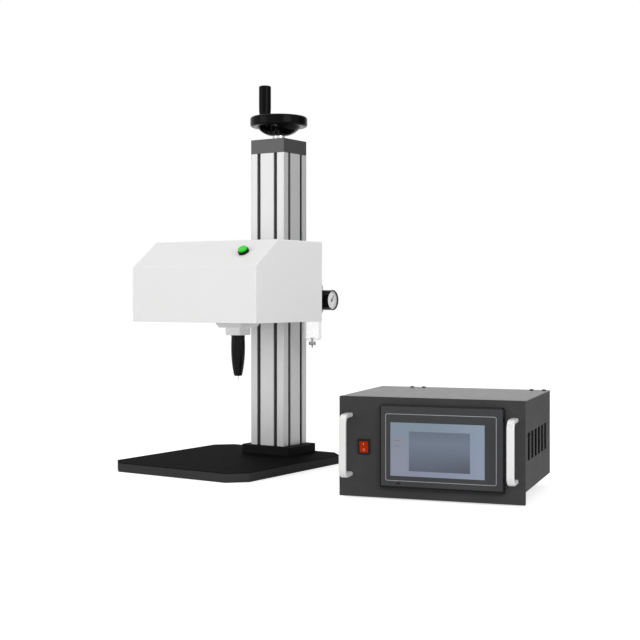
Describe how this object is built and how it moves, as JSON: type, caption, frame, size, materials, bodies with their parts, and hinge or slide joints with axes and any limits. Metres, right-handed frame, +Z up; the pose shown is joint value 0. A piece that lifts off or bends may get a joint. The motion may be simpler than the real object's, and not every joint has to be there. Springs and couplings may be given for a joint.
{
  "type": "nameplate marking machine",
  "caption": "Bench marking machine: a head with a pneumatic stylus slides on a column above a base plate, moved by a handwheel; a cabinet with a touch screen stands beside it.",
  "frame": {"origin": "on the column's axis, at the underside of the base plate", "axes": "+X to the right along the front, +Y to the back, +Z up the column"},
  "size_m": [0.8234, 0.4037, 0.7523],
  "materials": {
    "black_coat": "satin black coat",
    "column_aluminium": "matte clear anodised",
    "cap_dark": "satin black anodised",
    "screw_black": "black oxide",
    "bearing_steel": "ground and polished",
    "shaft_steel": "ground",
    "polished_steel": "polished",
    "wheel_black": "gloss black",
    "sleeve_dark": "black anodised",
    "pad_white": "acetal",
    "bronze": "machined bronze",
    "frame_aluminium": "milled",
    "cover_white": "white satin powder coat",
    "motor_black": "satin black",
    "plastic_black": "moulded black",
    "button_green": "gloss green",
    "stylus_black": "satin black anodised",
    "mount_light": "satin clear anodised",
    "regulator_grey": "painted die casting",
    "bowl_clear": "clear polycarbonate",
    "dial_white": "printed",
    "gauge_glass": "clear",
    "cabinet_charcoal": "fine textured charcoal coat",
    "bezel_charcoal": "moulded satin",
    "screen_lit": "lit display behind clear cover",
    "handle_silver": "bright anodised",
    "rocker_red": "clear red, lit",
    "rubber_black": "matte",
    "socket_metal": "nickel plated",
    "board_green": "boards and a sheathed supply"
  },
  "bodies": {
    "stand": {"base_plate": "black_coat", "column_flange": "black_coat", "column": "column_aluminium", "stand_screws": "screw_black", "top_cap": "cap_dark", "screw_bearings": "bearing_steel", "cabinet_case": "cabinet_charcoal", "cabinet_lid": "cabinet_charcoal", "front_panel": "cabinet_charcoal", "screen_bezel": "bezel_charcoal", "screen": "screen_lit", "cabinet_handles": "handle_silver", "switch_frame": "plastic_black", "cabinet_feet": "rubber_black", "power_inlet": "plastic_black", "rear_sockets": "socket_metal", "cabinet_electronics": "board_green"},
    "lift_drive": {"lift_screw": "shaft_steel", "wheel_collar": "polished_steel", "handwheel": "wheel_black", "wheel_nut": "polished_steel", "handle_spindle": "shaft_steel"},
    "grip": {"handle_grip": "wheel_black"},
    "head": {"slide_sleeve": "sleeve_dark", "guide_pads": "pad_white", "nut_arm": "shaft_steel", "lift_nut": "bronze", "slide_screws": "screw_black", "head_frame": "frame_aluminium", "y_rails": "shaft_steel", "y_motor": "motor_black", "head_cover": "cover_white", "head_base": "cover_white", "cover_screws": "screw_black", "button_housing": "plastic_black", "air_valve": "plastic_black", "head_socket": "socket_metal", "regulator_bracket": "shaft_steel", "regulator_body": "regulator_grey", "regulator_bowl": "bowl_clear", "air_inlet": "plastic_black", "gauge_case": "plastic_black", "gauge_dial": "dial_white", "gauge_glass": "gauge_glass"},
    "button": {"start_button": "button_green"},
    "knob": {"regulator_knob": "plastic_black"},
    "pointer": {"gauge_pointer": "motor_black"},
    "drain": {"drain_valve": "shaft_steel"},
    "y_carriage": {"y_blocks": "shaft_steel", "x_beam": "frame_aluminium", "x_rail": "shaft_steel", "x_motor": "motor_black"},
    "y_feed": {"y_screw": "shaft_steel"},
    "x_feed": {"x_screw": "shaft_steel"},
    "x_carriage": {"x_slider": "frame_aluminium", "stylus_mount": "mount_light", "stylus_body": "stylus_black", "needle_spring": "shaft_steel"},
    "needle": {"needle": "shaft_steel"},
    "rocker": {"power_rocker": "rocker_red"}
  },
  "joints": [
    {"name": "wheel_turn", "type": "hinge", "parent": "stand", "child": "lift_drive", "pos_m": [0, 0, 0.66], "axis": [0, 0, 1], "range_deg": [-14850, 13050]},
    {"name": "grip_spin", "type": "hinge", "parent": "lift_drive", "child": "grip", "pos_m": [-0.04296, 0.01199, 0.7], "axis": [0, 0, 1], "continuous": true},
    {"name": "head_lift", "type": "slide", "parent": "stand", "child": "head", "axis": [0, 0, 1], "range_m": [-0.1451, 0.1651]},
    {"name": "start_press", "type": "slide", "parent": "head", "child": "button", "axis": [0, -0.5862, 0.8102], "range_m": [-0.003, 0], "stiffness_N_per_m": 500, "springref_m": 0.003},
    {"name": "pressure_set", "type": "hinge", "parent": "head", "child": "knob", "pos_m": [0.0872, -0.01, 0.37], "axis": [0, 0, 1], "range_deg": [-720, 1080]},
    {"name": "pressure_show", "type": "hinge", "parent": "head", "child": "pointer", "pos_m": [0.1329, -0.01, 0.32], "axis": [1, 0, 0], "range_deg": [-93, 177]},
    {"name": "drain_press", "type": "slide", "parent": "head", "child": "drain", "axis": [0, 0, 1], "range_m": [0, 0.0015], "stiffness_N_per_m": 400, "springref_m": -0.002},
    {"name": "y_travel", "type": "slide", "parent": "head", "child": "y_carriage", "axis": [0, 1, 0], "range_m": [-0.05, 0.05]},
    {"name": "y_screw_spin", "type": "hinge", "parent": "head", "child": "y_feed", "pos_m": [0, -0.1, 0.3645], "axis": [0, 1, 0], "range_deg": [-1800.5, 1800.5]},
    {"name": "x_travel", "type": "slide", "parent": "y_carriage", "child": "x_carriage", "axis": [1, 0, 0], "range_m": [-0.0997, 0.0503]},
    {"name": "x_screw_spin", "type": "hinge", "parent": "y_carriage", "child": "x_feed", "pos_m": [0, -0.166, 0.318], "axis": [1, 0, 0], "range_deg": [-1811.3, 3589.7]},
    {"name": "needle_stroke", "type": "slide", "parent": "x_carriage", "child": "needle", "axis": [0, 0, 1], "range_m": [-0.004, 0], "stiffness_N_per_m": 400, "springref_m": 0.004, "deforming": ["needle_spring"]},
    {"name": "power_rock", "type": "hinge", "parent": "stand", "child": "rocker", "pos_m": [0.38224, -0.29672, 0.083], "axis": [0.9703, 0.2419, 0], "range_deg": [-16, 0]}
  ],
  "couplings": [
    {"joint": "head_lift", "follows": "wheel_turn", "m_per_rad": -0.00063662},
    {"joint": "y_screw_spin", "follows": "y_travel", "rad_per_m": -628.32},
    {"joint": "x_screw_spin", "follows": "x_travel", "rad_per_m": -628.32}
  ]
}
